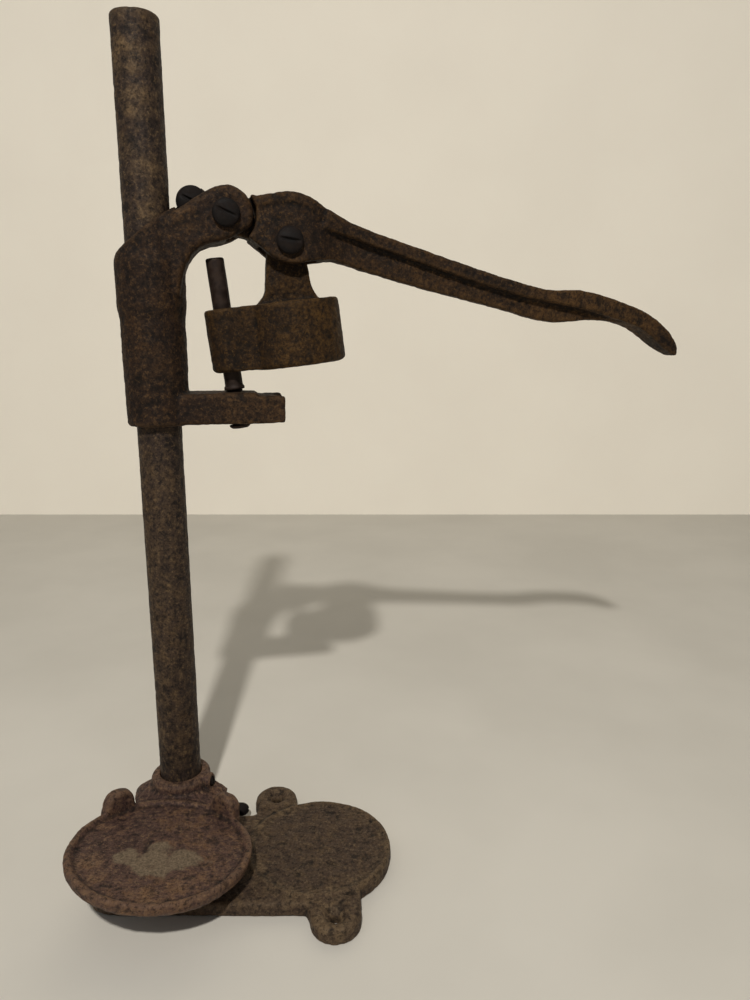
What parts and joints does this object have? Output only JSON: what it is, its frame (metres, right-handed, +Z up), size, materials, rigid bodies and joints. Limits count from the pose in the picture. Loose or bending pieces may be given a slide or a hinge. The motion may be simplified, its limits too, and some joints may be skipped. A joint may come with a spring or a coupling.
{
  "type": "lever bench press",
  "caption": "Cast-iron lever press on a round column, with a hinged press head, guide rod, hollowed neck rest, swivel dish and eared base.",
  "frame": {"origin": "on the column's axis, at the underside of the base", "axes": "+Z up the column, +X along the base's straight front edge towards the round pad, -Y towards the front"},
  "size_m": [0.3695, 0.1968, 0.475],
  "materials": {
    "iron_dark": "rusted, dark brown",
    "iron_olive": "rusted, olive brown",
    "iron_red": "rusted, red brown with a bare grey patch",
    "tube_steel": "rusted, dark brown",
    "steel_dark": "dark and smooth",
    "steel_bright": "worn bright",
    "pad_rubber": "matt black"
  },
  "bodies": {
    "base": {"base": "iron_dark"},
    "column": {"column": "tube_steel"},
    "column_set_screw": {"column_set_screw": "steel_dark"},
    "rest_dish": {"rest_dish": "iron_red"},
    "dish_set_screw": {"dish_set_screw": "steel_dark"},
    "head": {"head_bracket": "iron_dark", "clamp_nut": "steel_dark", "lever_pivot_screw": "steel_dark", "lever_pivot_nut": "steel_dark"},
    "clamp_screw": {"clamp_screw": "steel_dark"},
    "lever": {"lever": "iron_dark", "plunger_pivot_screw": "steel_dark", "plunger_pivot_nut": "steel_dark"},
    "plunger": {"plunger": "iron_olive", "crimp_throat": "steel_bright", "crown_pad": "pad_rubber"},
    "guide_rod": {"guide_rod": "steel_dark"}
  },
  "joints": [
    {"name": "column_turn", "type": "hinge", "parent": "base", "child": "column", "pos_m": [0, 0, 0.02], "axis": [0, 0, 1], "range_deg": [-90, 90]},
    {"name": "column_set_screw_turn", "type": "hinge", "parent": "base", "child": "column_set_screw", "pos_m": [0.04, -0.003, 0.0078], "axis": [1, 0, 0], "range_deg": [-180, 180]},
    {"name": "dish_turn", "type": "hinge", "parent": "base", "child": "rest_dish", "pos_m": [0, 0, 0.03], "axis": [0, 0, 1], "range_deg": [-120, 120]},
    {"name": "dish_set_screw_turn", "type": "hinge", "parent": "rest_dish", "child": "dish_set_screw", "pos_m": [0.01956, -0.00416, 0.0295], "axis": [0.9781, -0.2079, 0], "range_deg": [-180, 180]},
    {"name": "head_height", "type": "slide", "parent": "column", "child": "head", "axis": [0, 0, 1], "range_m": [-0.2, 0.09]},
    {"name": "clamp_screw_turn", "type": "hinge", "parent": "head", "child": "clamp_screw", "pos_m": [0.02426, 0.00516, 0.3838], "axis": [-0.2079, 0.9781, 0], "range_deg": [-180, 180]},
    {"name": "lever_swing", "type": "hinge", "parent": "head", "child": "lever", "pos_m": [0.04206, 0.00894, 0.3765], "axis": [-0.2079, 0.9781, 0], "range_deg": [-24, 12]},
    {"name": "plunger_pivot", "type": "hinge", "parent": "lever", "child": "plunger", "pos_m": [0.07576, 0.0161, 0.363], "axis": [-0.2079, 0.9781, 0], "range_deg": [-14, 27.5]},
    {"name": "rod_tilt", "type": "hinge", "parent": "head", "child": "guide_rod", "pos_m": [0.04451, 0.00946, 0.2685], "axis": [-0.2079, 0.9781, 0], "range_deg": [-2, 3.5]}
  ],
  "couplings": [
    {"joint": "plunger_pivot", "follows": "lever_swing", "ratio": -1.138},
    {"joint": "rod_tilt", "follows": "lever_swing", "ratio": -0.138}
  ]
}
